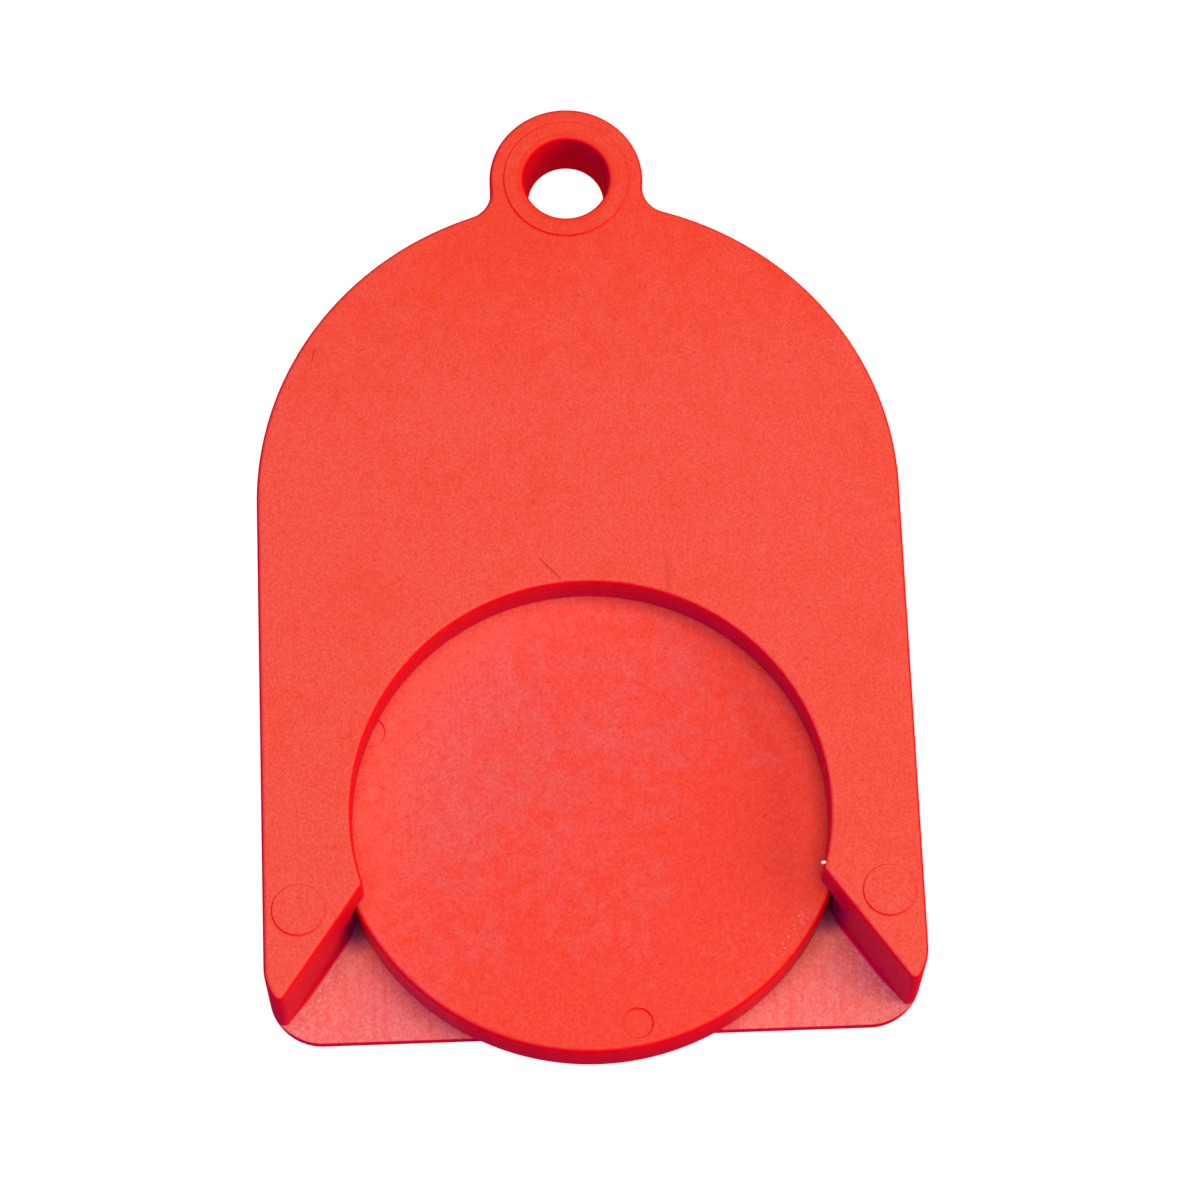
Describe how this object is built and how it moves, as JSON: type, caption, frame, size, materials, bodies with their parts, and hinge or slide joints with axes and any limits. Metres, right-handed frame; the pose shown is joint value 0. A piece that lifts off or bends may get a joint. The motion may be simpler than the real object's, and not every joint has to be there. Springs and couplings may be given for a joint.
{
  "type": "coin token key fob",
  "caption": "Flat arch-topped plastic key fob with an eyelet and a round windowed slot, open at the lower end, that holds a coin-sized token which slides out.",
  "frame": {"origin": "on the plane of the holder's back, under the middle of the whole fob's box with the token seated", "axes": "+Z is the way the front face looks, +Y runs along the fob to the eyelet, +X across it; the token slides out towards -Y"},
  "size_m": [0.0296, 0.0452, 0.0052],
  "materials": {
    "holder_plastic": "satin as moulded",
    "token_plastic": "satin as moulded, slightly smoother"
  },
  "bodies": {
    "holder": {"holder": "holder_plastic"},
    "token": {"token": "token_plastic"}
  },
  "joints": [
    {"name": "token_slide", "type": "slide", "parent": "holder", "child": "token", "axis": [0, -1, 0], "range_m": [0, 0.0235]}
  ]
}
